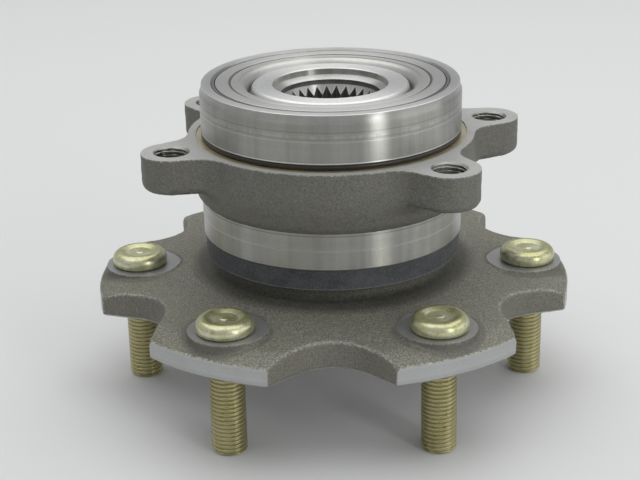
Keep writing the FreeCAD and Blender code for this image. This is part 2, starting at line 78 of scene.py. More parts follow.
FLOOR = cad_low.z / MM
STUDS = sorted(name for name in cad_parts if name.startswith("wheel_stud"))
STUD_PLACES = [sum(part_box(name), Vector()) / 2 / MM for name in STUDS]
STUD_ANGLES = [math.atan2(place.y, place.x) for place in STUD_PLACES]
STUD_CIRCLE = 69.85
STUD_STEP = 2 * math.pi / len(STUDS)

# Wheel flange
FLANGE_RADIUS = 83.9
RIM_HEIGHT = 6.4
SHELF_RADIUS = 80.2
SHELF_HEIGHT = 9.3
LAND_RADIUS = 40.5
FLANGE_ROOT = 13.5
NOTCH_FLOOR = 67.9
NOTCH_CORNER = 16.0
NOTCH_FLANK = math.radians(46.5)
SPOT_RADIUS = 13.15
SPOT_OFFSET = 1.25
SPOT_HEIGHT = 10.9
SPOT_CUT = SPOT_RADIUS + 0.25
WHEEL_PILOT = 33.5

# Outer ring
RING_TOP = top_of("outer_ring")
RING_FOOT = foot_of("outer_ring")
PILOT_RADIUS = 45.5
KNUCKLE_FACE = 60.1
PILOT_FOOT = KNUCKLE_FACE + 1.8
GREASE_EDGE = 47.4
LEAD_FOOT = RING_TOP - 3.3
BAND_RADIUS = 45.9
BAND_STEP = 32.2
EAR_UNDER = 47.3
EAR_CIRCLE = 58.4
EAR_END = 10.3
EAR_FLARE = math.radians(12.0)
EAR_ANGLES = [math.radians(angle) for angle in (27.5, 152.5, 215.8, 324.2)]
BODY_RADIUS = 50.3
BODY_FOOT_RADIUS = 47.4
BODY_FOOT = 39.4
BODY_PARTING = 48.5
BAND_TOP = 38.4
SEAL_BORE = 41.0
GROOVE_FLOOR = 43.45
EAR_HOLE = 6.0
COLLAR_FOOT = RING_FOOT - 7.1

# Seals
INBOARD_SEAL_DEPTH = 7.3
OUTBOARD_SEAL_DEPTH = 5.3
SHEET = 0.8
CASE_SHOULDER = 39.9
CASE_LIP = 35.3
SLINGER_RIM = 34.6

# Ball rows
BALL_CIRCLE = 32.0
RACE = 6.847
INBOARD_ROW = 62.7
OUTBOARD_ROW = 39.0
INNER_RELIEF = BALL_CIRCLE - RACE + 0.45
OUTER_RELIEF = BALL_CIRCLE + RACE - 0.45
INNER_LAND = 27.4
SPINDLE = 20.0

# Bore
SPLINE_MINOR = 15.4
SPLINE_MAJOR = 16.95
BORE_MOUTH = 17.4

SEGMENTS = 360


def mesh_object(name, vertices, faces):
    """A mesh object from vertices in millimetres and faces as vertex index tuples."""
    mesh = bpy.data.meshes.new(name)
    mesh.from_pydata((np.asarray(vertices, float) * MM).tolist(), [], faces)
    mesh.update()
    made = bpy.data.objects.new(name, mesh)
    bpy.context.scene.collection.objects.link(made)
    return made


def smooth(piece, angle=32.0):
    """Shade smooth, with edges sharper than an angle in degrees left crisp."""
    piece.data.shade_smooth()
    piece.data.set_sharp_from_angle(angle=math.radians(angle))


def skin(name, radii, heights, closed):
    """A mesh from rows of rings. radii and heights have one row per ring.

    A closed skin joins its last ring to its first, and an open one is capped at both ends.
    """
    rows, count = radii.shape
    turn = np.linspace(0, 2 * np.pi, count, endpoint=False)
    vertices = np.stack([radii * np.cos(turn), radii * np.sin(turn), heights], axis=-1)
    vertices = vertices.reshape(-1, 3)
    faces = []
    for row in range(rows if closed else rows - 1):
        low = row * count
        high = (row + 1) % rows * count
        for step in range(count):
            following = (step + 1) % count
            faces.append((low + step, low + following, high + following, high + step))
    if not closed:
        foot = len(vertices)
        ends = [[0, 0, heights[0].mean()], [0, 0, heights[-1].mean()]]
        vertices = np.vstack([vertices, ends])
        last = (rows - 1) * count
        for step in range(count):
            following = (step + 1) % count
            faces.append((foot, following, step))
            faces.append((foot + 1, last + step, last + following))
    return mesh_object(name, vertices, faces)


def arc_points(centre, start, end, steps, long_way=False):
    """Points from start to end about a centre, both ends kept."""
    first = math.atan2(start[1] - centre[1], start[0] - centre[0])
    sweep = math.atan2(end[1] - centre[1], end[0] - centre[0]) - first
    sweep = (sweep + math.pi) % (2 * math.pi) - math.pi
    if long_way:
        sweep -= math.copysign(2 * math.pi, sweep)
    radius = math.hypot(start[0] - centre[0], start[1] - centre[1])
    turns = [first + sweep * step / steps for step in range(steps + 1)]
    return [(centre[0] + radius * math.cos(t), centre[1] + radius * math.sin(t)) for t in turns]


def rounded(points, rounds, steps=5):
    """A closed outline with some corners rounded. rounds maps a point's index to a radius."""
    made = []
    for index, corner in enumerate(points):
        if index not in rounds:
            made.append(corner)
            continue
        here = Vector(corner)
        before = (Vector(points[index - 1]) - here).normalized()
        after = (Vector(points[(index + 1) % len(points)]) - here).normalized()
        half = before.angle(after) / 2
        setback = rounds[index] / math.tan(half)
        centre = here + (before + after).normalized() * (rounds[index] / math.sin(half))
        start, end = here + before * setback, here + after * setback
        made.extend(arc_points(centre, start, end, steps))
    return made


def turned(name, points, rounds=(), steps=5):
    """A turned ring from its closed outline of (radius, height) points."""
    outline = np.array(rounded(points, rounds, steps))
    area = np.sum(outline[:, 0] * np.roll(outline[:, 1], -1))
    area -= np.sum(outline[:, 1] * np.roll(outline[:, 0], -1))
    if area < 0:
        outline = outline[::-1]
    radii = np.repeat(outline[:, :1], SEGMENTS, axis=1)
    heights = np.repeat(outline[:, 1:], SEGMENTS, axis=1)
    return skin(name, radii, heights, True)


def rod(name, radius, low, high, place, count=96):
    """An upright cylinder."""
    radii = np.full((2, count), radius)
    heights = np.array([[low] * count, [high] * count], float)
    made = skin(name, radii, heights, False)
    shift(made, place)
    return made


def shift(piece, place):
    """Move a piece's vertices by a place in millimetres in the XY plane."""
    piece.data.transform(Matrix.Translation(Vector((place[0], place[1], 0)) * MM))


def polar(radius, angle):
    """The place at a radius and an angle."""
    return radius * math.cos(angle), radius * math.sin(angle)


def points_of(piece):
    """A piece's vertices in millimetres."""
    return np.array([v.co for v in piece.data.vertices]) / MM


def combine(target, tool, operation):
    """Boolean of two closed meshes. The tool is used up."""
    modifier = target.modifiers.new("boolean", "BOOLEAN")
    modifier.solver = "MANIFOLD"
    modifier.operation = operation
    modifier.object = tool
    bpy.context.view_layer.update()
    graph = bpy.context.evaluated_depsgraph_get()
    mesh = bpy.data.meshes.new_from_object(target.evaluated_get(graph))
    target.modifiers.clear()
    target.data = mesh
    bpy.data.objects.remove(tool)


def join(pieces):
    """One mesh from several that don't touch."""
    vertices, faces = [], []
    for piece in pieces:
        start = len(vertices)
        vertices.extend([tuple(v.co / MM) for v in piece.data.vertices])
        faces.extend([tuple(start + i for i in p.vertices) for p in piece.data.polygons])
        bpy.data.objects.remove(piece)
    return mesh_object("joined", vertices, faces)


# Distance fields of the forged shapes, negative inside, and their surface
def fillet_union(one, other, radius):
    """The two solids together, with a concave fillet between them."""
    u = np.maximum(radius - one, 0)
    v = np.maximum(radius - other, 0)
    return np.maximum(radius, np.minimum(one, other)) - np.hypot(u, v)


def round_common(one, other, radius):
    """What the two solids share, with a rounded edge between them."""
    u = np.maximum(radius + one, 0)
    v = np.maximum(radius + other, 0)
    return np.minimum(-radius, np.maximum(one, other)) + np.hypot(u, v)


def about(angle, start):
    """The angle from the nearest of evenly spaced places that begin with start."""
    return (angle - start + STUD_STEP / 2) % STUD_STEP - STUD_STEP / 2


def notch_distance(radius, angle):
    """Distance from the notches between the lobes, negative inside a notch."""
    local = about(angle, STUD_ANGLES[0] + STUD_STEP / 2)
    along = radius * np.cos(local) - NOTCH_FLOOR - NOTCH_CORNER
    across = np.abs(radius * np.sin(local))
    beside = across * math.cos(NOTCH_FLANK) - along * math.sin(NOTCH_FLANK)
    before = across * math.sin(NOTCH_FLANK) + along * math.cos(NOTCH_FLANK) < 0
    return np.where(before, np.hypot(along, across), beside) - NOTCH_CORNER


def spot_distance(radius, angle):
    """Distance from the middle of the nearest stud's spot face."""
    local = about(angle, STUD_ANGLES[0])
    along = radius * np.cos(local) - (STUD_CIRCLE - SPOT_OFFSET)
    return np.hypot(along, radius * np.sin(local))


def flange_top(radius, angle, z):
    """The upper side of the wheel flange before its notches: hollow slope, bosses, root."""
    hollow, flatter = 1.8, 0.99
    edge_round, boss_round, root_round = 3, 1.3, 3
    draft, boss_spare = 0.16, 0.6
    land_top = 16.5
    share = np.clip((SHELF_RADIUS - radius) / (SHELF_RADIUS - LAND_RADIUS), 0, 1.2)
    height = SHELF_HEIGHT + (FLANGE_ROOT - SHELF_HEIGHT) * share ** hollow
    shelf = (z - height) * flatter
    fall = (RIM_HEIGHT - SHELF_HEIGHT, SHELF_RADIUS - FLANGE_RADIUS)
    drop = -((radius - FLANGE_RADIUS) * fall[0] + (z - RIM_HEIGHT) * fall[1])
    solid = round_common(shelf, drop / math.hypot(*fall), edge_round)
    wall = spot_distance(radius, angle) - SPOT_RADIUS + (z - SPOT_HEIGHT) * draft
    boss = np.maximum(wall / math.hypot(1, draft), z - SPOT_HEIGHT - boss_spare)
    solid = fillet_union(solid, boss, boss_round)
    land = np.maximum(radius - LAND_RADIUS, z - land_top)
    return fillet_union(solid, land, root_round)


def flange_field(x, y, z):
    """The forged wheel flange: a coned plate with lobes, bosses and a raised root."""
    edge_round, edge_chamfer = 1.3, 0.9
    rim_spare, face_spare, inner_edge = 1.6, 1, 31
    radius = np.hypot(x, y)
    angle = np.arctan2(y, x)
    beyond = -notch_distance(radius, angle)
    solid = round_common(flange_top(radius, angle, z), beyond, edge_round)
    solid = np.maximum(solid, (beyond - z + edge_chamfer) / math.sqrt(2))
    solid = np.maximum(solid, radius - FLANGE_RADIUS - rim_spare)
    return np.maximum(np.maximum(solid, -z - face_spare), inner_edge - radius)


def ear_distance(x, y, z):
    """Distance from the nearest of the four ears, without their root fillets."""
    sine, cosine = math.sin(EAR_FLARE), math.cos(EAR_FLARE)
    under_round, inner_end = 2.8, 20
    nearest = np.inf
    for angle in EAR_ANGLES:
        u = x * math.cos(angle) + y * math.sin(angle) - EAR_CIRCLE
        v = np.abs(y * math.cos(angle) - x * math.sin(angle))
        past = u * cosine - v * sine > 0
        plan = np.where(past, np.hypot(u, v), u * sine + v * cosine) - EAR_END
        nearest = np.minimum(nearest, np.maximum(plan, -u - EAR_CIRCLE + inner_end))
    return round_common(nearest, EAR_UNDER - z, under_round)


def ring_field(x, y, z):
    """The forged middle of the outer ring: a drafted round body with four ears."""
    draft, foot_slope = 0.02, 0.9
    parting_round, foot_round, ear_round = 1.2, 0.8, 4.6
    top_spare, foot_spare, inner_edge = 1.5, 1.2, 42.6
    radius = np.hypot(x, y)
    upper = (radius - BODY_RADIUS + (z - BODY_PARTING) * draft) / math.hypot(1, draft)
    slope = (BODY_RADIUS - BODY_FOOT_RADIUS) / (BODY_PARTING - BODY_FOOT)
    lower = (radius - BODY_RADIUS - (z - BODY_PARTING) * slope) / math.hypot(1, slope)
    foot = radius - BODY_FOOT_RADIUS - (z - BODY_FOOT) / foot_slope
    body = round_common(upper, lower, parting_round)
    body = round_common(body, foot / math.hypot(1, 1 / foot_slope), foot_round)
    solid = fillet_union(body, ear_distance(x, y, z), ear_round)
    solid = np.maximum(solid, z - KNUCKLE_FACE - top_spare)
    return np.maximum(np.maximum(solid, BAND_TOP - foot_spare - z), inner_edge - radius)


def window_of(axis, along, across):
    """A window on a grid: one slice along an axis and the other across it."""
    return tuple(along if part == axis else across for part in range(3))


def surface_net(name, field, low, high, cell):
    """A closed mesh on a field's zero surface, from one vertex per grid cell it crosses."""
    counts = [math.ceil((high[i] - low[i]) / cell) + 1 for i in range(3)]
    steps = np.indices(counts, sparse=True)
    values = field(*[low[i] + cell * steps[i] for i in range(3)])
    inside = values < 0
    cells = [count - 1 for count in counts]
    total = np.zeros(cells + [3], np.float32)
    number = np.zeros(cells, np.float32)
    crossings = []
    for axis in range(3):
        first = window_of(axis, slice(0, -1), slice(None))
        second = window_of(axis, slice(1, None), slice(None))
        start, end = values[first], values[second]
        crossed = inside[first] != inside[second]
        share = np.where(crossed, start / np.where(crossed, start - end, 1), 0)
        others = [other for other in range(3) if other != axis]
        crossings.append((axis, others, crossed, inside[first]))
        for back in ((0, 0), (0, 1), (1, 0), (1, 1)):
            window = [slice(None)] * 3
            for other, moved in zip(others, back):
                window[other] = slice(moved, cells[other] + moved)
            window = tuple(window)
            number += crossed[window]
            for part in range(3):
                index = np.broadcast_to(steps[part], values.shape)[first]
                along = index + share if part == axis else index
                total[..., part] += (along * crossed)[window]
    used = number > 0
    ids = np.cumsum(used.ravel()).reshape(used.shape) - 1
    points = low + cell * total[used] / number[used][:, None]
    quads = []
    for axis, others, crossed, leaving in crossings:
        where = np.argwhere(crossed[window_of(axis, slice(None), slice(1, -1))])
        where[:, others] += 1
        corners = []
        for back in ((1, 1), (0, 1), (0, 0), (1, 0)):
            place = where.copy()
            place[:, others] -= back
            corners.append(ids[tuple(place.T)])
        quad = np.stack(corners, axis=1)
        flip = leaving[tuple(where.T)] ^ (axis == 1)
        quad[~flip] = quad[~flip][:, ::-1]
        quads.append(quad)
    points = settle(points, field, cell)
    return mesh_object(name, points, np.concatenate(quads).tolist())


def gradient(points, field, step=0.05):
    """The field's slope at each point."""
    columns = []
    for offset in step * np.eye(3):
        ahead = field(*(points + offset).T)
        behind = field(*(points - offset).T)
        columns.append((ahead - behind) / (2 * step))
    return np.stack(columns, axis=1)


def settle(points, field, cell):
    """Pull points on to the field's zero surface."""
    for _ in range(3):
        slope = gradient(points, field)
        size = np.maximum(np.sum(slope ** 2, axis=1), 0.05)
        pull = (field(*points.T) / size)[:, None] * slope
        length = np.linalg.norm(pull, axis=1)[:, None]
        points = points - pull * np.minimum(1, 0.5 * cell / np.maximum(length, 1e-9))
    return points


def ripple(points, seed, shortest, longest, height):
    """A smooth random height at each point, from waves of many directions and lengths."""
    random = np.random.default_rng(seed)
    total = np.zeros(len(points))
    waves = 40
    for _ in range(waves):
        direction = random.normal(size=3)
        direction /= np.linalg.norm(direction)
        length = math.exp(random.uniform(math.log(shortest), math.log(longest)))
        total += np.sin(points @ direction * 2 * np.pi / length + random.uniform(0, 2 * np.pi))
    return total * height / math.sqrt(waves / 2)


def roughen(piece, field, seed, height):
    """Give a forged surface the slight unevenness of its die and scale."""
    points = points_of(piece)
    slope = gradient(points, field)
    slope /= np.maximum(np.linalg.norm(slope, axis=1), 1e-9)[:, None]
    bump = ripple(points, seed, 1.6, 9.0, height) + ripple(points, seed + 1, 12.0, 40.0, height)
    points += slope * bump[:, None]
    piece.data.vertices.foreach_set("co", (points * MM).astype(np.float32).ravel())
    piece.data.update()


def note(piece, name, share):
    """Keep a share on each vertex for the material: wear brightens, and painted shade darkens."""
    attribute = piece.data.attributes.new(name, "FLOAT", "POINT")
    attribute.data.foreach_set("value", share(*points_of(piece).T).astype(np.float32))


def near_edge(one, other, width):
    """1 where two surfaces meet, falling to 0 over a width."""
    return np.exp(-(one ** 2 + other ** 2) / width ** 2)


def hub_wear(x, y, z):
    """Rubbed edges of the lobes and spot faces, and a pale line round each boss's foot."""
    lobe_edge, sharp_edge, spot_edge = 1, 0.7, 0.35
    boss_foot, line_width = 3.3, 0.5
    radius = np.hypot(x, y)
    angle = np.arctan2(y, x)
    top = flange_top(radius, angle, z)
    notch = notch_distance(radius, angle)
    rim = FLANGE_RADIUS - radius
    beside = spot_distance(radius, angle) - SPOT_RADIUS
    low = z < SPOT_HEIGHT - 0.9
    shares = [
        near_edge(top, notch, lobe_edge),
        near_edge(top, rim, sharp_edge),
        near_edge(notch, rim, sharp_edge),
        0.8 * near_edge(notch, z, lobe_edge),
        near_edge(beside, z - SPOT_HEIGHT, spot_edge),
        0.45 * near_edge(beside - boss_foot, 0, line_width) * low,
    ]
    return np.max(shares, axis=0)


def hub_boss_shade(x, y, z):
    """Painted shade on the walls of the bosses and beside them."""
    reach, fade = 3, 1.2
    beside = spot_distance(np.hypot(x, y), np.arctan2(y, x)) - SPOT_RADIUS
    below = np.clip((SPOT_HEIGHT - 0.15 - z) / 0.6, 0, 1)
    return below * np.clip((reach - beside) / fade, 0, 1)


def ring_wear(x, y, z):
    """Rubbed edges at the ears' faces, and less at their undersides."""
    return near_edge(KNUCKLE_FACE - z, 0, 0.5) + 0.35 * near_edge(z - EAR_UNDER, 0, 0.8)


def thread_rows(minor, major, pitch, low, high, count, limits=None):
    """Rings of a screw thread between two heights, as radii and heights.

    limits gives the largest radius at a height, for a chamfered end.
    """
    rise = pitch / 10
    flat = 0.12
    heights = np.arange(low, high + rise / 2, rise)
    turn = np.arange(count) / count
    phase = (heights[:, None] / pitch - turn[None, :]) % 1.0
    wave = 0.5 + 0.5 * np.cos(2 * np.pi * phase)
    wave = np.clip((wave - flat) / (1 - 2 * flat), 0, 1)
    radii = minor + (major - minor) * wave
    if limits:
        radii = np.minimum(radii, limits(heights)[:, None])
    return radii, np.repeat(heights[:, None], count, axis=1)


def race_arc(row, low_radius, high_radius):
    """A ball groove's arc from its lower end to its upper end, each at a radius."""
    ends = []
    for radius, side in ((low_radius, -1), (high_radius, 1)):
        rise = math.sqrt(RACE ** 2 - (radius - BALL_CIRCLE) ** 2)
        ends.append((radius, row + side * rise))
    return arc_points((BALL_CIRCLE, row), *ends, 16)


def make_hub():
    """Wheel flange, pilot and spindle in one forging."""
    reach = FLANGE_RADIUS + 2.5
    hub = surface_net("hub_forging", flange_field, (-reach, -reach, -2), (reach, reach, 18), 0.62)
    roughen(hub, flange_field, seed=11, height=0.035)
    inner, top, edge = 29, 22, 0.8
    stud_hole = 6.4
    outline = [
        (inner, edge), (52, edge), (52.8, 0), (FLANGE_RADIUS - edge, 0),
        (FLANGE_RADIUS, edge), (FLANGE_RADIUS, top), (inner, top),
    ]
    combine(hub, turned("envelope", outline), "INTERSECT")
    seats, holes = [], []
    for angle in STUD_ANGLES:
        place = polar(STUD_CIRCLE - SPOT_OFFSET, angle)
        seats.append(rod("seat", SPOT_CUT, SPOT_HEIGHT, 20, place, 128))
        holes.append(rod("hole", stud_hole, -3, 12, polar(STUD_CIRCLE, angle)))
    combine(hub, join(seats), "DIFFERENCE")
    combine(hub, join(holes), "DIFFERENCE")
    combine(hub, make_hub_core(), "UNION")
    combine(hub, make_spline_cutter(), "DIFFERENCE")
    hub.name = "hub_body"
    return hub


def make_hub_core():
    """The turned middle of the hub, from wheel pilot to spindle end."""
    nut_seat, pilot_foot, wall = 4, -11, 25
    seal_seat, collar_top = 10, 20.5
    neck, relief = 28.2, 17.2
    shoulder = foot_of("inner_ring")
    end = top_of("hub")
    outline = [
        (wall, nut_seat), (wall, pilot_foot + 0.6), (25.6, pilot_foot), (32, pilot_foot),
        (WHEEL_PILOT, pilot_foot + 1.5), (WHEEL_PILOT, seal_seat), (LAND_RADIUS, seal_seat),
    ]
    foot, crest, waist = (LAND_RADIUS, seal_seat), (LAND_RADIUS, collar_top), (neck, collar_top)
    outline += rounded([foot, crest, waist], {1: 1})[1:-1]
    outline += rounded([crest, waist, (neck, 30)], {1: 4.5})[1:-1]
    outline += race_arc(OUTBOARD_ROW, neck, INNER_RELIEF)
    outline += [
        (INNER_RELIEF, shoulder), (SPINDLE, shoulder), (SPINDLE, end), (17.9, end - 1),
        (BORE_MOUTH, end - 1.2), (BORE_MOUTH, end - 2.9), (SPLINE_MINOR, end - 6.2),
        (SPLINE_MINOR, 16), (relief, 14.2), (relief, nut_seat),
    ]
    return turned("core", outline)


def make_spline_cutter():
    """The spaces between the teeth of the internal spline, as one star-shaped bar."""
    teeth = 30
    minor = SPLINE_MINOR - 0.05
    mouth, root = 3.05, 0.35
    mouth_turn = mouth / 2 / minor
    root_turn = root / 2 / SPLINE_MAJOR
    ring = []
    for tooth in range(teeth):
        middle = 2 * math.pi * tooth / teeth
        ring += [
            polar(minor, middle - mouth_turn), polar(SPLINE_MAJOR, middle - root_turn),
            polar(SPLINE_MAJOR, middle + root_turn), polar(minor, middle + mouth_turn),
        ]
    count = len(ring)
    low, high = 12.0, top_of("hub") - 1.8
    vertices = [(x, y, low) for x, y in ring] + [(x, y, high) for x, y in ring]
    faces = [
        (step, (step + 1) % count, count + (step + 1) % count, count + step)
        for step in range(count)
    ]
    faces += [tuple(reversed(range(count))), tuple(range(count, 2 * count))]
    return mesh_object("spline", vertices, faces)


def make_outer_ring():
    """The fixed ring: forged middle with ears, turned pilot, band and raceways."""
    ring = surface_net("ring_forging", ring_field, (-66, -58, 36), (66, 58, 63), 0.55)
    roughen(ring, ring_field, seed=21, height=0.04)
    inner, outer, recess = 41.6, 75, KNUCKLE_FACE - 0.3
    outline = [
        (inner, BAND_TOP), (outer, BAND_TOP), (outer, KNUCKLE_FACE),
        (GREASE_EDGE, KNUCKLE_FACE), (GREASE_EDGE, recess), (inner, recess),
    ]
    combine(ring, turned("envelope", outline), "INTERSECT")
    combine(ring, make_ring_core(), "UNION")
    combine(ring, join([make_ear_cutter(angle) for angle in EAR_ANGLES]), "DIFFERENCE")
    ring.name = "outer_ring_body"
    return ring


def make_ring_core():
    """The turned parts of the outer ring, from its lower to its upper end face."""
    shoulder = 36.1
    lower_band = 45.7
    chamfer = 0.65
    inboard_floor = RING_TOP - INBOARD_SEAL_DEPTH
    outboard_floor = RING_FOOT + OUTBOARD_SEAL_DEPTH
    outline = [
        (SEAL_BORE, RING_FOOT), (lower_band - 0.5, RING_FOOT), (lower_band, RING_FOOT + 0.5),
        (lower_band, BAND_STEP - 0.1), (BAND_RADIUS, BAND_STEP + 0.1), (BAND_RADIUS, 41),
        (GROOVE_FLOOR, 46), (GROOVE_FLOOR, PILOT_FOOT),
        (PILOT_RADIUS - 0.3, PILOT_FOOT), (PILOT_RADIUS, PILOT_FOOT + 0.3),
        (PILOT_RADIUS, LEAD_FOOT), (PILOT_RADIUS - 0.25, LEAD_FOOT + 0.6),
        (PILOT_RADIUS - 0.6, LEAD_FOOT + 1.3), (PILOT_RADIUS - 0.7, RING_TOP - 0.25),
        (PILOT_RADIUS - 0.9, RING_TOP), (SEAL_BORE + chamfer, RING_TOP),
        (SEAL_BORE, RING_TOP - chamfer), (SEAL_BORE, inboard_floor),
        (OUTER_RELIEF, inboard_floor),
    ]
    outline += list(reversed(race_arc(INBOARD_ROW, shoulder, OUTER_RELIEF)))
    outline += list(reversed(race_arc(OUTBOARD_ROW, OUTER_RELIEF, shoulder)))
    outline += [(OUTER_RELIEF, outboard_floor), (SEAL_BORE, outboard_floor)]
    return turned("ring_core", outline)


def make_ear_cutter(angle):
    """The threaded hole of one ear, with its countersunk mouth."""
    pitch, minor = 1.25, 5.3
    low, high = EAR_UNDER - pitch, KNUCKLE_FACE + pitch
    radii, heights = thread_rows(minor, EAR_HOLE, pitch, low, high, 64)
    mouth = EAR_HOLE + 0.25 - (KNUCKLE_FACE - heights)
    exit_cone = EAR_HOLE + 0.1 - (heights - EAR_UNDER)
    made = skin("ear_hole", np.maximum(radii, np.maximum(mouth, exit_cone)), heights, False)
    shift(made, polar(EAR_CIRCLE, angle))
    return made


def make_stud(name, place):
    """One wheel stud with rolled thread, serrated neck and dished round head."""
    count = 72
    pitch, minor, major = 1.5, 5.25, 5.98
    tip_radius, tip_slope = 4.95, 1.1

    def end_limit(heights):
        return tip_radius + (heights - FLOOR) * tip_slope

    thread, levels = thread_rows(minor, major, pitch, FLOOR, -0.5, count, end_limit)
    plain = 5.95
    serrations = 6.2 + 0.18 * (-1.0) ** np.arange(count)
    seat = SPOT_HEIGHT
    top = seat + 5.0
    dish = top - 0.75
    profile = [
        (plain, -0.3), (plain, 0.0), (serrations, 0.4), (serrations, seat - 0.3),
        (6.0, seat + 0.01), (8.8, seat + 0.01), (9.25, seat + 0.2), (9.55, seat + 0.65),
        (9.68, seat + 1.2),
    ]
    profile += rounded([(9.7, seat + 1.6), (9.7, top), (5, top)], {1: 2.9}, 9)[:-1]
    profile += rounded([(8, top), (6.5, top), (4.2, dish)], {1: 1.4}, 5)[1:-1]
    profile += rounded([(6.5, top), (4.4, dish), (2, dish)], {1: 1.4}, 5)[1:-1]
    profile += rounded([(4, dish), (1.6, dish), (1.2, top - 0.5)], {1: 0.3}, 3)[1:-1]
    profile += [(1.3, top - 0.6), (1.1, top - 0.5), (0.5, top - 0.48)]
    radii = [thread] + [np.full((1, count), radius) for radius, height in profile]
    heights = [levels] + [np.full((1, count), height) for radius, height in profile]
    stud = skin(name, np.vstack(radii), np.vstack(heights), False)
    shift(stud, place)
    smooth(stud, 40)
    return stud


def make_inner_ring():
    """The inner ring pressed on the spindle, with its ground end face."""
    foot, top = foot_of("inner_ring"), top_of("inner_ring")
    outline = [(SPINDLE, foot), (INNER_RELIEF, foot)]
    outline += race_arc(INBOARD_ROW, INNER_RELIEF, INNER_LAND)
    corner = [(INNER_LAND, INBOARD_ROW), (INNER_LAND, top), (SPINDLE, top)]
    outline += rounded(corner, {1: 1.6}, 8)[1:-1]
    outline += [(SPINDLE + 0.35, top), (SPINDLE, top - 0.35)]
    return turned("inner_ring_body", outline)


def make_inboard_case():
    """The pressed steel case that closes the inboard end."""
    top = RING_TOP - 0.1
    foot = RING_TOP - INBOARD_SEAL_DEPTH
    hem = top - 2.5
    points = [
        (SEAL_BORE, foot), (SEAL_BORE, top - 1.9), (CASE_SHOULDER, top - 1.6),
        (CASE_SHOULDER, top), (CASE_LIP, top), (CASE_LIP, hem), (CASE_LIP + SHEET, hem),
        (CASE_LIP + SHEET, top - SHEET), (CASE_SHOULDER - SHEET, top - SHEET),
        (CASE_SHOULDER - SHEET, foot),
    ]
    return turned("inboard_seal_case_body", points, {3: 0.3, 4: 0.25, 8: 0.2})


def make_seal_beads():
    """The rubber that edges the inboard case: a bead in the ring's bore, a strip inside."""
    crest, low = RING_TOP - 0.3, RING_TOP - 1.9
    gap = 0.02
    bead = [
        (CASE_SHOULDER + gap, low), (CASE_SHOULDER + gap, crest - 1),
        (CASE_SHOULDER + 0.28, crest - 0.9), (CASE_SHOULDER + 0.38, crest),
        (SEAL_BORE + 0.12, crest), (SEAL_BORE - 0.05, RING_TOP - 0.7), (SEAL_BORE - gap, low),
    ]
    inner, outer = SLINGER_RIM + 0.18, CASE_LIP - gap
    strip = [(inner, low), (inner, crest - 0.1), (outer, crest - 0.1), (outer, low)]
    strip = turned("strip", strip, {1: 0.15, 2: 0.1})
    made = join([turned("bead", bead, {3: 0.12, 4: 0.12}), strip])
    made.name = "inboard_seal_beads"
    return made


def make_inboard_slinger():
    """The steel ring that turns inside the case and dips like a bell to the inner ring."""
    top = RING_TOP - 0.3
    edge, edge_step = 31.7, 0.25
    bell_width, bell_depth, bell_steps = 3.35, 4.3, 12
    sleeve_foot, hem = 70.8, top - 1.7
    points = [
        (INNER_LAND, sleeve_foot), (INNER_LAND + SHEET, sleeve_foot),
        (INNER_LAND + SHEET, top - bell_depth - 1.2), (edge + 0.2, top - 1.6),
        (SLINGER_RIM - SHEET, top - SHEET), (SLINGER_RIM - SHEET, hem), (SLINGER_RIM, hem),
        (SLINGER_RIM, top), (edge, top),
    ]
    for step in range(bell_steps + 1):
        share = step / bell_steps
        height = top - edge_step - (bell_depth - edge_step) * share ** 2
        points.append((edge - 0.1 - bell_width * share, height))
    points.append((INNER_LAND, top - bell_depth))
    return turned("inboard_slinger_body", points, {7: 0.25}, 4)


def make_o_ring():
    """The sealing ring in the corner of the knuckle pilot."""
    section = 0.9
    centre = (GROOVE_FLOOR + 0.15 + section, KNUCKLE_FACE + 0.92)
    start = (centre[0] + section, centre[1])
    outline = arc_points(centre, start, (start[0], start[1] - 1e-6), 24, True)[:-1]
    return turned("o_ring_body", outline)


def make_outboard_collar():
    """The dark moulded collar and lips of the outboard seal."""
    skin_depth = 1.1
    plate = RING_FOOT + OUTBOARD_SEAL_DEPTH - SHEET
    shelf = RING_FOOT - SHEET
    wall = SEAL_BORE - SHEET
    foot = COLLAR_FOOT
    inner, outer = 42.8, 44.2
    side = (WHEEL_PILOT + wall) / 2
    lip_tip, root_foot = 28.5, plate - 3.3
    points = [
        (outer, RING_FOOT), (45.3, RING_FOOT), (45.05, foot + 0.6), (45.15, foot + 0.4),
        (45.15, foot + 0.15), (44.9, foot), (inner, foot), (inner, shelf - skin_depth),
        (wall - skin_depth, shelf - skin_depth), (wall - skin_depth, plate - skin_depth),
        (side + skin_depth, plate - skin_depth), (side + 2.2, 20.8), (side + 1.1, 20.8),
        (side, plate - skin_depth), (WHEEL_PILOT, plate - skin_depth), (29.6, root_foot),
        (lip_tip, root_foot), (lip_tip, plate - 2.2), (32.4, plate), (wall, plate),
        (wall, shelf), (outer, shelf),
    ]
    return turned("outboard_seal_lip_body", points, {1: 0.2}, 4)


# Materials
PALE = (0.62, 0.62, 0.6)
DUSK = (0.2, 0.2, 0.185)


def shade(colour, factor):
    """A colour made darker or lighter."""
    return tuple(factor * part for part in colour)


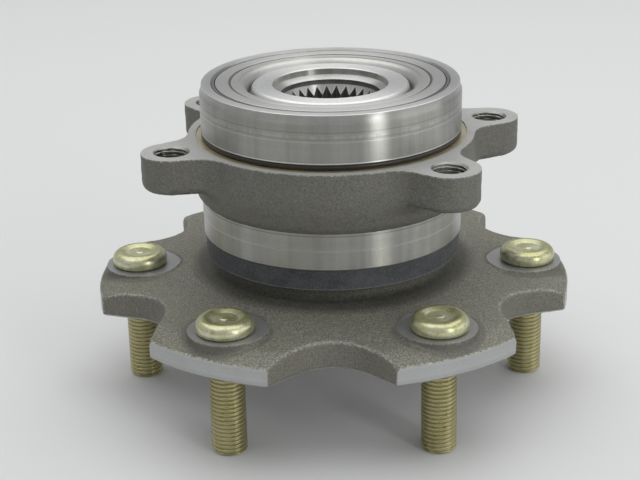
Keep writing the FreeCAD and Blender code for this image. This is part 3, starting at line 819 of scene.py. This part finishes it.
class Nodes:
    """A helper that builds one node material, colour over colour."""

    def __init__(self, name):
        self.material = bpy.data.materials.new(name)
        self.material.use_nodes = True
        self.tree = self.material.node_tree
        self.shader = self.tree.nodes["Principled BSDF"]
        self.place = self.add("ShaderNodeTexCoord").outputs["Object"]

    def feed(self, target, value):
        """Put a number, a colour or another node's output into an input."""
        if isinstance(value, bpy.types.NodeSocket):
            self.tree.links.new(value, target)
        elif isinstance(value, tuple):
            target.default_value = (*value, 1)
        elif value is not None:
            target.default_value = value

    def add(self, kind, inputs=None, **settings):
        """A node with its settings and what goes into its inputs."""
        node = self.tree.nodes.new(kind)
        for key, value in settings.items():
            setattr(node, key, value)
        for key, value in (inputs or {}).items():
            self.feed(node.inputs[key], value)
        return node

    def noise(self, scale, detail=3, roughness=0.6, place=None):
        inputs = {"Scale": scale, "Detail": detail, "Roughness": roughness}
        inputs["Vector"] = place or self.place
        return self.add("ShaderNodeTexNoise", inputs).outputs["Fac"]

    def ramp(self, value, low, high, start=0, end=1):
        inputs = {"From Min": low, "From Max": high, "To Min": start, "To Max": end}
        return self.add("ShaderNodeMapRange", {"Value": value, **inputs}).outputs["Result"]

    def mix(self, share, one, other):
        """Make the colour one where the share is 0, and the other where it is 1."""
        node = self.add("ShaderNodeMix", data_type="RGBA")
        for key, value in ((0, share), (6, one), (7, other)):
            self.feed(node.inputs[key], value)
        self.colour = node.outputs[2]

    def over(self, value, low, high, share, colour):
        """Lay a colour over the one so far, up to a share, as a value goes from low to high."""
        self.mix(self.ramp(value, low, high, 0, share), self.colour, colour)

    def math(self, operation, one, other=0.5):
        return self.add("ShaderNodeMath", {0: one, 1: other}, operation=operation).outputs[0]

    def attribute(self, name):
        return self.add("ShaderNodeAttribute", attribute_name=name).outputs["Fac"]

    def bump(self, height, strength, distance, under=None):
        inputs = {"Height": height, "Strength": strength, "Distance": distance, "Normal": under}
        return self.add("ShaderNodeBump", inputs).outputs["Normal"]

    def stretched(self, height_scale):
        """The place with its height scaled, so a pattern runs up and down."""
        node = self.add("ShaderNodeMapping", {"Vector": self.place})
        node.inputs["Scale"].default_value = (1, 1, height_scale)
        return node.outputs["Vector"]

    def around(self):
        """A coordinate of radius and height only, so a pattern runs round the axis."""
        x, y, z = self.add("ShaderNodeSeparateXYZ", {0: self.place}).outputs
        squares = [self.math("MULTIPLY", part, part) for part in (x, y)]
        radius = self.math("SQRT", self.math("ADD", *squares))
        return self.add("ShaderNodeCombineXYZ", {0: radius, 2: z}).outputs[0], radius, z

    def set(self, **values):
        """Finish the material with its colour and the shader's other values."""
        self.feed(self.shader.inputs["Base Color"], self.colour)
        for key, value in values.items():
            self.feed(self.shader.inputs[key.replace("_", " ")], value)
        return self.material


def forged_steel(name, light, dark, warm, worn, contrast=1.0, root=None):
    """Grainy forged and blasted steel, rubbed bright in specks along its edges.

    root gives two radii in millimetres, between which a dark ring fades out: painted shade under
    the seal collar, with an oil stain.
    """
    n = Nodes(name)
    grain = n.noise(1500, 2, 0.75)
    fine = n.noise(2600, 1)
    cloud = n.noise(70, 4)
    blotch = n.noise(420, 3, 0.65)
    half = 0.13 / contrast
    n.mix(n.ramp(grain, 0.5 - half, 0.5 + half), dark, light)
    n.over(blotch, 0.42, 0.7, 0.4, warm)
    n.over(cloud, 0.35, 0.75, 0.35, warm)
    # Bright flecks: painted glints, the sparkle of the blasted grain.
    n.over(fine, 0.6, 0.72, 0.5 * contrast, shade(light, 1.7))
    n.over(fine, 0.38, 0.28, 0.6, shade(dark, 0.4))
    if root:
        # Painted shade under the seal collar, with an oil stain: darker towards the hub's root.
        root_shade_and_oil = n.ramp(n.around()[1], root[0] * MM, root[1] * MM, 0.6, 0)
        n.mix(root_shade_and_oil, n.colour, shade(dark, 0.25))
    # Painted shade on the walls of the bosses, from a share kept on the vertices.
    n.over(n.attribute("boss_shade"), 0, 1, 0.5, shade(dark, 0.75))
    ragged = n.ramp(n.noise(1300, 3, 0.75), 0.3, 0.68)
    n.over(n.math("MULTIPLY", n.attribute("wear"), ragged), 0.25, 0.85, worn, (0.56, 0.55, 0.51))
    rough = n.ramp(grain, 0.3, 0.7, 0.52, 0.7)
    normal = n.bump(blotch, 0.35, 4e-4, n.bump(grain, 0.55, 3e-4))
    return n.set(Roughness=rough, Metallic=0.5, Normal=normal)


def machined_steel():
    """Smooth milled or faced steel, seen on rim, spot faces and wheel face."""
    n = Nodes("machined")
    around, _, height = n.around()
    marks = n.noise(900, 2, 0.6, around)
    n.mix(n.ramp(marks, 0.3, 0.7), (0.405, 0.41, 0.41), (0.475, 0.48, 0.48))
    n.over(n.noise(110, 3, 0.5), 0.4, 0.8, 0.35, (0.36, 0.36, 0.36))
    n.over(n.noise(1500, 2), 0.62, 0.72, 0.5, (0.25, 0.25, 0.24))
    # Painted shade on the spot faces under and around the stud heads.
    spot_face_shade = ((SPOT_HEIGHT - 0.8) * MM, (SPOT_HEIGHT - 0.3) * MM)
    n.over(height, *spot_face_shade, 0.5, (0.24, 0.245, 0.235))
    return n.set(Roughness=0.42, Metallic=0.75, Normal=n.bump(marks, 0.12, 8e-5))


def turned_steel(name, tone, roughness, tint=None, reflection_streaks=0, stretch=0.9, marks=()):
    """Turned or ground steel: lines round the axis spread reflections along it.

    marks are (height, half width, share, colour) rings, among them painted highlights and painted
    shade: a negative width makes a broken ring.
    """
    n = Nodes(name)
    around, _, height = n.around()
    lines = n.noise(2600, 3, 0.75, around)
    smear = n.noise(45, 3, 0.55)
    low = shade(tone, 0.86)
    n.mix(n.ramp(lines, 0.3, 0.7), low, shade(tone, 1.12))
    n.over(n.noise(230, 2, 0.5, around), 0.42, 0.7, 0.35, low)
    n.over(smear, 0.54, 0.72, 0.5, tint or low)
    n.over(n.noise(900, 3, 0.7), 0.35, 0.65, 0.3, shade(tone, 0.75))
    # Painted reflections: upright streaks, darker by the given share.
    if reflection_streaks:
        upright = n.noise(160, 3, 0.7, n.stretched(0.03))
        n.over(upright, 0.4, 0.65, 0.7, shade(tone, 1 - reflection_streaks))
    for level, half, share, colour in marks:
        away = n.math("ABSOLUTE", n.math("SUBTRACT", height, level * MM))
        band = n.ramp(away, abs(half) * MM, abs(half) * MM * 0.4, 0, share)
        if half < 0:
            broken = n.noise(330, 2, 0.6, n.stretched(0.3))
            band = n.math("MULTIPLY", band, n.ramp(broken, 0.48, 0.58))
        n.mix(band, n.colour, colour)
    tangent = n.add("ShaderNodeTangent", direction_type="RADIAL", axis="Z")
    return n.set(
        Roughness=n.ramp(smear, 0.3, 0.7, roughness, roughness * 1.25),
        Metallic=1.0,
        Anisotropic=stretch,
        Anisotropic_Rotation=0.25,
        Tangent=tangent.outputs[0],
        Normal=n.bump(lines, 0.1, 6e-5),
    )


def knuckle_face_steel():
    """The satin face of the ears."""
    n = Nodes("knuckle_face")
    marks = n.noise(1500, 2, 0.6, n.around()[0])
    n.mix(n.ramp(marks, 0.3, 0.7), (0.42, 0.42, 0.405), (0.48, 0.48, 0.465))
    n.over(n.noise(120), 0.4, 0.75, 0.35, (0.33, 0.33, 0.315))
    n.over(n.noise(1500, 2, 0.7), 0.35, 0.65, 0.4, (0.32, 0.32, 0.305))
    return n.set(Roughness=0.5, Metallic=0.2, Normal=n.bump(marks, 0.15, 1e-4))


def cloudy(name, dark, light, metallic, depth):
    """A plain satin material with a faint cloud in its colour."""
    n = Nodes(name)
    cloud = n.noise(300)
    n.mix(n.ramp(cloud, 0.3, 0.7), dark, light)
    return n.set(Roughness=0.5, Metallic=metallic, Normal=n.bump(cloud, 0.1, depth))


def greasy_steel():
    """Steel under a film of yellow-brown grease, with a dark line at its outer edge."""
    n = Nodes("greasy_steel")
    cloud = n.noise(160)
    n.mix(n.ramp(cloud, 0.35, 0.65), (0.4, 0.355, 0.23), (0.58, 0.5, 0.31))
    line = ((GREASE_EDGE - 0.2) * MM, GREASE_EDGE * MM)
    n.over(n.around()[1], *line, 0.75, (0.1, 0.09, 0.07))
    normal = n.bump(cloud, 0.2, 3e-4)
    return n.set(Roughness=0.32, Metallic=0.5, Normal=normal, Coat_Weight=0.3)


def zinc_yellow():
    """Yellow-passivated zinc, olive in the hollows and pale where it is rubbed."""
    n = Nodes("yellow_zinc")
    cloud = n.noise(170, 4, 0.65)
    fine = n.noise(1100, 3, 0.65)
    n.mix(n.ramp(cloud, 0.32, 0.68), (0.48, 0.475, 0.22), (0.69, 0.69, 0.52))
    n.over(fine, 0.48, 0.68, 0.5, (0.78, 0.78, 0.64))
    n.over(n.noise(700, 2), 0.56, 0.7, 0.55, (0.28, 0.27, 0.12))
    height = n.around()[2]
    n.over(height, 1 * MM, -3 * MM, 0.75, (0.44, 0.395, 0.205))
    dish = SPOT_HEIGHT + 4.2
    n.over(height, dish * MM, (dish + 0.5) * MM, 0.5, (0.37, 0.37, 0.15))
    normal = n.bump(fine, 0.2, 15e-5, n.bump(cloud, 0.2, 5e-4))
    return n.set(Roughness=n.ramp(cloud, 0.3, 0.7, 0.25, 0.42), Metallic=0.85, Normal=normal)


def moulded_rubber(name, low, high, roughness, edge=None):
    """Dark moulded rubber with a dusty speckle, and a painted highlight in a pale line at an
    edge's height.
    """
    n = Nodes(name)
    speck = n.noise(2400, 2, 0.7)
    n.mix(n.ramp(speck, 0.45, 0.75), low, high)
    n.over(n.noise(160), 0.4, 0.8, 0.5, high)
    if edge is not None:
        # Painted highlight: a pale ragged line along the collar's rolled foot edge.
        line = n.ramp(n.around()[2], (edge + 0.55) * MM, (edge + 0.3) * MM)
        n.mix(n.math("MULTIPLY", line, n.noise(700, 3, 0.7)), n.colour, DUSK)
    return n.set(Roughness=roughness, Normal=n.bump(speck, 0.25, 15e-5))


def polished_ball():
    """Polished ball steel with the faintest haze."""
    n = Nodes("polished_ball")
    cloud = n.noise(200, 3, 0.5)
    n.mix(n.ramp(cloud, 0.3, 0.7), (0.62, 0.62, 0.63), (0.7, 0.7, 0.7))
    return n.set(Roughness=n.ramp(cloud, 0.3, 0.7, 0.06, 0.12), Metallic=1.0)


def paint(piece, *materials):
    """Put materials in a piece's slots."""
    piece.data.materials.clear()
    for material in materials:
        piece.data.materials.append(material)


def regions(piece, choose):
    """Give each face the material slot that choose works out from its place and facing."""
    faces = piece.data.polygons
    centres, normals = np.zeros((2, len(faces) * 3))
    faces.foreach_get("center", centres)
    faces.foreach_get("normal", normals)
    centres = centres.reshape(-1, 3) / MM
    radius = np.hypot(centres[:, 0], centres[:, 1])
    slots = choose(centres, normals.reshape(-1, 3)[:, 2], radius).astype(np.int32)
    faces.foreach_set("material_index", slots)
    piece.data.update()


def hub_regions(centres, upward, radius):
    """0 forged, 1 machined, 2 turned and ground, 3 painted shade on oily steel in the bore, 4
    forged walls.
    """
    height = centres[:, 2]
    slots = np.zeros(len(radius), int)
    spot = spot_distance(radius, np.arctan2(centres[:, 1], centres[:, 0])) < SPOT_CUT + 0.02
    upright = np.abs(upward) < 0.1
    slots[(radius > NOTCH_FLOOR - 1) & (upward < 0.6)] = 4
    slots[(radius > FLANGE_RADIUS - 0.05) & upright] = 1
    slots[(height < 0.85) & (upward < -0.6) & (radius > 33)] = 1
    slots[spot & (np.abs(height - SPOT_HEIGHT) < 0.02) & (upward > 0.9)] = 1
    slots[spot & (height > SPOT_HEIGHT - 0.02) & upright] = 1
    slots[(radius < WHEEL_PILOT + 0.1) | (height > 17.5)] = 2
    slots[(radius < BORE_MOUTH + 0.1) & (height > 12.5) & (np.abs(upward) < 0.3)] = 3
    return slots


def ring_regions(centres, upward, radius):
    """0 forged, 1 faced, 2 turned and ground, 3 end face, 4 greasy foot of the pilot."""
    height = centres[:, 2]
    slots = np.zeros(len(radius), int)
    faced = (upward > 0.9) & (height > KNUCKLE_FACE - 0.35) & (height < KNUCKLE_FACE + 0.1)
    slots[faced] = 1
    slots[(radius < BAND_RADIUS + 0.02) | (height > KNUCKLE_FACE + 0.1)] = 2
    topside = (upward > 0.3) & (height > RING_TOP - 1)
    slots[topside & ((radius > SEAL_BORE + 0.7) | (upward > 0.95))] = 3
    slots[faced & (radius < GREASE_EDGE)] = 4
    for angle in EAR_ANGLES:
        x, y = polar(EAR_CIRCLE, angle)
        away = np.hypot(centres[:, 0] - x, centres[:, 1] - y)
        slots[(away < EAR_HOLE + 0.3) & ~faced] = 2
    return slots


def inner_ring_regions(centres, upward, radius):
    """0 end face and raceway, 1 bore."""
    return ((radius < SPINDLE + 0.3) & (np.abs(upward) < 0.5)).astype(int)


def dress(piece, node, body):
    """Let a piece stand for a node and ride its body."""
    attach(piece, body)
    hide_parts(node)


hub_side = "hub_side"
knuckle_side = "knuckle_side"

hub_cast = forged_steel(
    "forged_hub", (0.28, 0.277, 0.238), (0.13, 0.128, 0.106), (0.2, 0.184, 0.13), 0.85, 1.5,
    root=(47, 51.5),
)
ring_cast = forged_steel(
    "forged_ring", (0.215, 0.214, 0.196), (0.12, 0.119, 0.107), (0.16, 0.15, 0.12), 0.95, 0.75
)
notch_cast = forged_steel(
    "forged_walls", (0.24, 0.236, 0.205), (0.13, 0.128, 0.11), (0.19, 0.172, 0.128), 0.85, 0.85
)
pilot_band_marks_and_foot_highlight = (
    (LEAD_FOOT + 2.2, 2.2, 0.35, (0.5, 0.5, 0.48)),
    (74.0, 1.5, 0.22, (0.3, 0.29, 0.24)),
    (72.8, 0.25, 0.5, DUSK),
    (71.2, -0.9, 0.3, (0.58, 0.58, 0.55)),
    (70.6, 0.2, 0.35, DUSK),
    (69.6, 0.2, 0.5, PALE),
    # Painted highlight: a bright line along the pilot's foot.
    (PILOT_FOOT + 0.35, 0.4, 0.9, (0.85, 0.85, 0.82)),
    (37.4, 0.3, 0.6, DUSK),
    (BAND_STEP, 0.4, 0.55, PALE),
)
# Painted highlight along the rounded top edge of the pilot.
edge_highlight = (RING_TOP - 0.2, 0.2, 0.9, (0.9, 0.9, 0.88))
# Painted shade at the bottom of the slinger's bell, down by the inner ring.
bell_shade = (RING_TOP - 5.0, 2.4, 0.8, (0.12, 0.12, 0.11))
# The pilot and band take a darker tone than the end face of the same steel: painted shade for
# their upright sides.
ground = turned_steel(
    "ground_ring_painted_shade", (0.42, 0.42, 0.395), 0.32, (0.37, 0.345, 0.26), 0.3, 0.9, pilot_band_marks_and_foot_highlight
)
end_face = turned_steel("turned_face", (0.58, 0.585, 0.57), 0.38, None, 0, 0.6, (edge_highlight,))
bore = turned_steel("turned_bore", (0.62, 0.62, 0.605), 0.34)
ring_bore = turned_steel("ring_bore", (0.74, 0.73, 0.69), 0.26, (0.6, 0.56, 0.44), 0.45)
sheet_steel = turned_steel("seal_sheet", (0.56, 0.56, 0.545), 0.4, stretch=0.6)
slinger_steel = turned_steel(
    "slinger_sheet", (0.57, 0.57, 0.545), 0.38, stretch=0.6, marks=(bell_shade,)
)
inner_face = turned_steel("inner_face", (0.76, 0.765, 0.75), 0.38, stretch=0.6)
# Painted shade, over oily steel, on the walls of the bore's mouth and in the spline spaces.
oily_bore_shade = cloudy("oily_steel_painted_shade", (0.085, 0.085, 0.075), (0.13, 0.13, 0.115), 0.4, 2e-4)
rubber = moulded_rubber(
    "seal_rubber", (0.018, 0.021, 0.026), (0.088, 0.093, 0.098), 0.5, COLLAR_FOOT
)
bead_rubber = moulded_rubber("bead_rubber", (0.06, 0.063, 0.07), (0.16, 0.163, 0.17), 0.4)
o_ring_rubber = moulded_rubber("o_ring_rubber", (0.02, 0.018, 0.016), (0.05, 0.045, 0.038), 0.35)
zinc = zinc_yellow()

hub = make_hub()
paint(hub, hub_cast, machined_steel(), bore, oily_bore_shade, notch_cast)
regions(hub, hub_regions)
note(hub, "wear", hub_wear)
note(hub, "boss_shade", hub_boss_shade)
smooth(hub, 34)
dress(hub, "hub", hub_side)

ring = make_outer_ring()
paint(ring, ring_cast, knuckle_face_steel(), ground, end_face, greasy_steel())
regions(ring, ring_regions)
note(ring, "wear", ring_wear)
smooth(ring, 34)
dress(ring, "outer_ring", knuckle_side)

for node, place in zip(STUDS, STUD_PLACES):
    stud = make_stud(node + "_body", place)
    paint(stud, zinc)
    dress(stud, node, hub_side)

inner_ring = make_inner_ring()
paint(inner_ring, inner_face, ring_bore)
regions(inner_ring, inner_ring_regions)
smooth(inner_ring)
dress(inner_ring, "inner_ring", hub_side)

beads = make_seal_beads()
paint(beads, bead_rubber)
smooth(beads)
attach(beads, knuckle_side)

simple_pieces = (
    (make_inboard_slinger, "inboard_slinger", hub_side, "seal_steel", slinger_steel),
    (make_inboard_case, "inboard_seal_case", knuckle_side, "seal_steel", sheet_steel),
    (make_o_ring, "o_ring", knuckle_side, "o_ring_rubber", o_ring_rubber),
    (make_outboard_collar, "outboard_seal_lip", knuckle_side, "seal_rubber", rubber),
)
for make, node, body, slot, material in simple_pieces:
    piece = make()
    paint(piece, material)
    smooth(piece)
    dress(piece, node, body)

ball_steel = polished_ball()
resin = cloudy("cage_resin", (0.52, 0.46, 0.33), (0.62, 0.56, 0.43), 0, 1e-4)
for name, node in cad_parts.items():
    if name.startswith("ball_"):
        paint(node, ball_steel)
    elif name.startswith("cage_"):
        paint(node, resin)
paint(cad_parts["inboard_seal_lip"], rubber)
paint(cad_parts["outboard_seal_case"], sheet_steel)


# Floor, light and camera
def make_floor():
    """A plain pale table top."""
    half = 2500
    corners = [(x * half, y * half, FLOOR) for x, y in ((-1, -1), (1, -1), (1, 1), (-1, 1))]
    floor = mesh_object("floor", corners, [(0, 1, 2, 3)])
    material = bpy.data.materials.new("table")
    material.use_nodes = True
    shader = material.node_tree.nodes["Principled BSDF"]
    shader.inputs["Base Color"].default_value = (0.7, 0.705, 0.7, 1)
    shader.inputs["Roughness"].default_value = 0.7
    shader.inputs["Specular IOR Level"].default_value = 0.25
    paint(floor, material)


def area_light(name, place, aim_height, width, height, power):
    """A soft rectangular lamp that points at a height on the axis."""
    light = bpy.data.lights.new(name, "AREA")
    light.shape = "RECTANGLE"
    light.size = width
    light.size_y = height
    light.energy = power
    lamp = bpy.data.objects.new(name, light)
    bpy.context.scene.collection.objects.link(lamp)
    lamp.location = place
    lamp.rotation_mode = "QUATERNION"
    aim = Vector((0, 0, aim_height))
    lamp.rotation_quaternion = (aim - Vector(place)).to_track_quat("-Z", "Y")


def make_world():
    """Even pale light all round."""
    world = bpy.data.worlds.new("studio")
    world.use_nodes = True
    background = world.node_tree.nodes["Background"]
    background.inputs["Color"].default_value = (0.78, 0.79, 0.8, 1)
    background.inputs["Strength"].default_value = 0.57
    bpy.context.scene.world = world


def make_camera():
    """The photograph's own viewpoint, found from the object's circles and studs."""
    place = Vector((120.34, -508.13, 219.2)) * MM
    heading = math.radians(103.83)
    pitch = math.radians(20.987)
    roll = math.radians(-1.076)
    focal_pixels = 1555.23
    image_width = 640
    forward = Vector((*polar(math.cos(pitch), heading), -math.sin(pitch)))
    level = Vector((math.sin(heading), -math.cos(heading), 0))
    upward = level.cross(forward)
    right = level * math.cos(roll) + upward * math.sin(roll)
    up = upward * math.cos(roll) - level * math.sin(roll)
    camera = bpy.data.cameras.new("camera")
    camera.sensor_width = 36
    camera.lens = focal_pixels * camera.sensor_width / image_width
    camera.clip_start = 0.01
    camera.clip_end = 20
    holder = bpy.data.objects.new("camera", camera)
    bpy.context.scene.collection.objects.link(holder)
    turn = Matrix((right, up, -forward)).transposed().to_4x4()
    holder.matrix_world = Matrix.Translation(place) @ turn
    bpy.context.scene.camera = holder


make_floor()
make_world()
area_light("overhead", (-0.08, 0.25, 1.2), 0.03, 2.0, 1.7, 14.0)
area_light("right_strip", (0.835, -0.625, 0.36), 0.05, 0.18, 0.7, 2.1)
area_light("right_wall", (1.5, 0.2, 0.55), 0.05, 1.4, 1.0, 3.4)
make_camera()
bpy.context.scene.view_settings.view_transform = "Standard"
